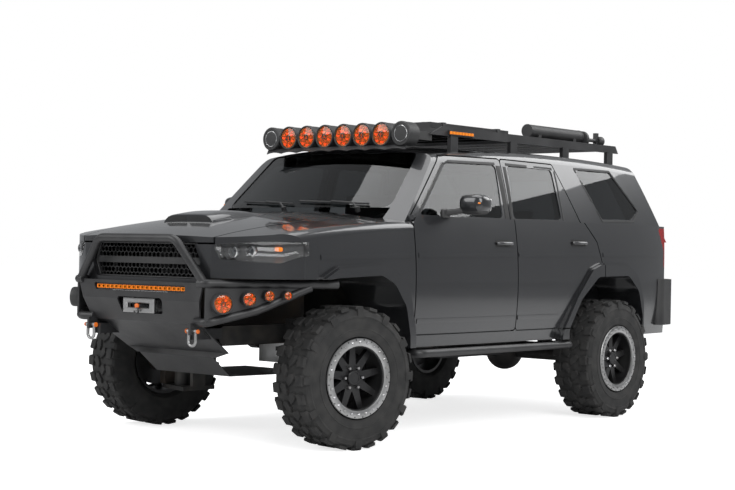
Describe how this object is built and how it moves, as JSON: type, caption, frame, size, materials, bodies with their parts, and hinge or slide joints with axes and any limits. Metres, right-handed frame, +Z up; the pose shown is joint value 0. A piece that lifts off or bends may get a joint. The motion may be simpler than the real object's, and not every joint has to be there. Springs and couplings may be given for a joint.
{
  "type": "lifted off-road estate car",
  "caption": "Lifted off-road estate car on mud-terrain tyres with a steel winch bumper, rock sliders, a roof rack and a row of round roof lamps.",
  "frame": {"origin": "on the ground under the middle of the overall length, on the centre plane", "axes": "+X forward, +Y to the driver's left, +Z up"},
  "size_m": [4.8029, 2.3, 2.0809],
  "materials": {
    "body_paint": "gloss metallic dark grey",
    "armour": "satin black powder coat",
    "chassis": "satin black chassis paint",
    "trim": "grained black",
    "glass": "tinted",
    "lamp_clear": "clear lens",
    "lamp_amber": "amber cover",
    "lamp_red": "red and clear lens",
    "tyre": "matt",
    "wheel": "satin black with a bare ring",
    "fabric": "dark seat cloth",
    "steel": "bare steel",
    "iron": "cast",
    "alloy": "cast",
    "interior": "grained dark grey"
  },
  "bodies": {
    "root": {"body_side_left": "body_paint", "front_fender_left": "body_paint", "body_side_right": "body_paint", "front_fender_right": "body_paint", "roof_panel": "body_paint", "fixed_glass": "glass", "floor_pan": "body_paint", "tail_lamps": "lamp_red", "front_fascia": "body_paint", "headlamps": "lamp_clear", "grille": "trim", "cowl": "trim", "front_suspension": "chassis", "ladder_frame": "chassis", "rear_axle": "chassis", "rear_springs": "steel", "propshaft": "steel", "engine_block": "iron", "gearbox": "alloy", "fuel_tank": "chassis", "exhaust": "steel", "front_seats": "fabric", "rear_seat": "fabric", "dashboard": "interior", "steering_wheel": "interior", "front_bumper": "armour", "winch": "alloy", "bumper_lamps": "trim", "recovery_shackles": "steel", "skid_plate": "armour", "rock_sliders": "armour", "roof_rack": "armour", "roof_lamps": "lamp_amber", "rack_panel": "armour", "rack_canister": "armour", "rear_bumper": "trim"},
    "hood": {"hood": "body_paint"},
    "tailgate": {"tailgate": "body_paint", "tailgate_glass": "glass"},
    "knuckle_left": {"knuckle_left": "iron"},
    "knuckle_right": {"knuckle_right": "iron"},
    "front_door_left": {"front_door_left": "body_paint", "front_door_glass_left": "glass", "mirror_left": "trim"},
    "rear_door_left": {"rear_door_left": "body_paint", "rear_door_glass_left": "glass"},
    "front_door_right": {"front_door_right": "body_paint", "front_door_glass_right": "glass", "mirror_right": "trim"},
    "rear_door_right": {"rear_door_right": "body_paint", "rear_door_glass_right": "glass"},
    "wheel_front_left": {"tyre_front_left": "tyre", "rim_front_left": "wheel"},
    "wheel_front_right": {"tyre_front_right": "tyre", "rim_front_right": "wheel"},
    "wheel_rear_left": {"tyre_rear_left": "tyre", "rim_rear_left": "wheel"},
    "wheel_rear_right": {"tyre_rear_right": "tyre", "rim_rear_right": "wheel"}
  },
  "joints": [
    {"name": "hood_hinge", "type": "hinge", "parent": "root", "child": "hood", "pos_m": [1.0815, 0, 1.4], "axis": [0, -1, 0], "range_deg": [0, 48]},
    {"name": "tailgate_hinge", "type": "hinge", "parent": "root", "child": "tailgate", "pos_m": [-1.975, 0, 1.832], "axis": [0, 1, 0], "range_deg": [0, 84]},
    {"name": "front_door_left_hinge", "type": "hinge", "parent": "root", "child": "front_door_left", "pos_m": [0.9265, 0.934, 1], "axis": [0, 0, -1], "range_deg": [0, 65]},
    {"name": "front_door_right_hinge", "type": "hinge", "parent": "root", "child": "front_door_right", "pos_m": [0.9265, -0.934, 1], "axis": [0, 0, 1], "range_deg": [0, 65]},
    {"name": "rear_door_left_hinge", "type": "hinge", "parent": "root", "child": "rear_door_left", "pos_m": [-0.155, 0.934, 1], "axis": [0, 0, -1], "range_deg": [0, 65]},
    {"name": "rear_door_right_hinge", "type": "hinge", "parent": "root", "child": "rear_door_right", "pos_m": [-0.155, -0.934, 1], "axis": [0, 0, 1], "range_deg": [0, 65]},
    {"name": "steer_left", "type": "hinge", "parent": "root", "child": "knuckle_left", "pos_m": [1.465, 0.7, 0.42], "axis": [0, 0, 1], "range_deg": [-22, 42]},
    {"name": "steer_right", "type": "hinge", "parent": "root", "child": "knuckle_right", "pos_m": [1.465, -0.7, 0.42], "axis": [0, 0, 1], "range_deg": [-22, 42]},
    {"name": "wheel_front_left_spin", "type": "hinge", "parent": "knuckle_left", "child": "wheel_front_left", "pos_m": [1.49263, 0.85353, 0.42], "axis": [0.1771, 0.9842, 0], "continuous": true},
    {"name": "wheel_front_right_spin", "type": "hinge", "parent": "knuckle_right", "child": "wheel_front_right", "pos_m": [1.43737, -0.85353, 0.42], "axis": [0.1771, 0.9842, 0], "continuous": true},
    {"name": "wheel_rear_left_spin", "type": "hinge", "parent": "root", "child": "wheel_rear_left", "pos_m": [-1.325, 0.856, 0.42], "axis": [0, 1, 0], "continuous": true},
    {"name": "wheel_rear_right_spin", "type": "hinge", "parent": "root", "child": "wheel_rear_right", "pos_m": [-1.325, -0.856, 0.42], "axis": [0, 1, 0], "continuous": true}
  ],
  "couplings": [
    {"joint": "steer_right", "follows": "steer_left", "ratio": 1}
  ]
}
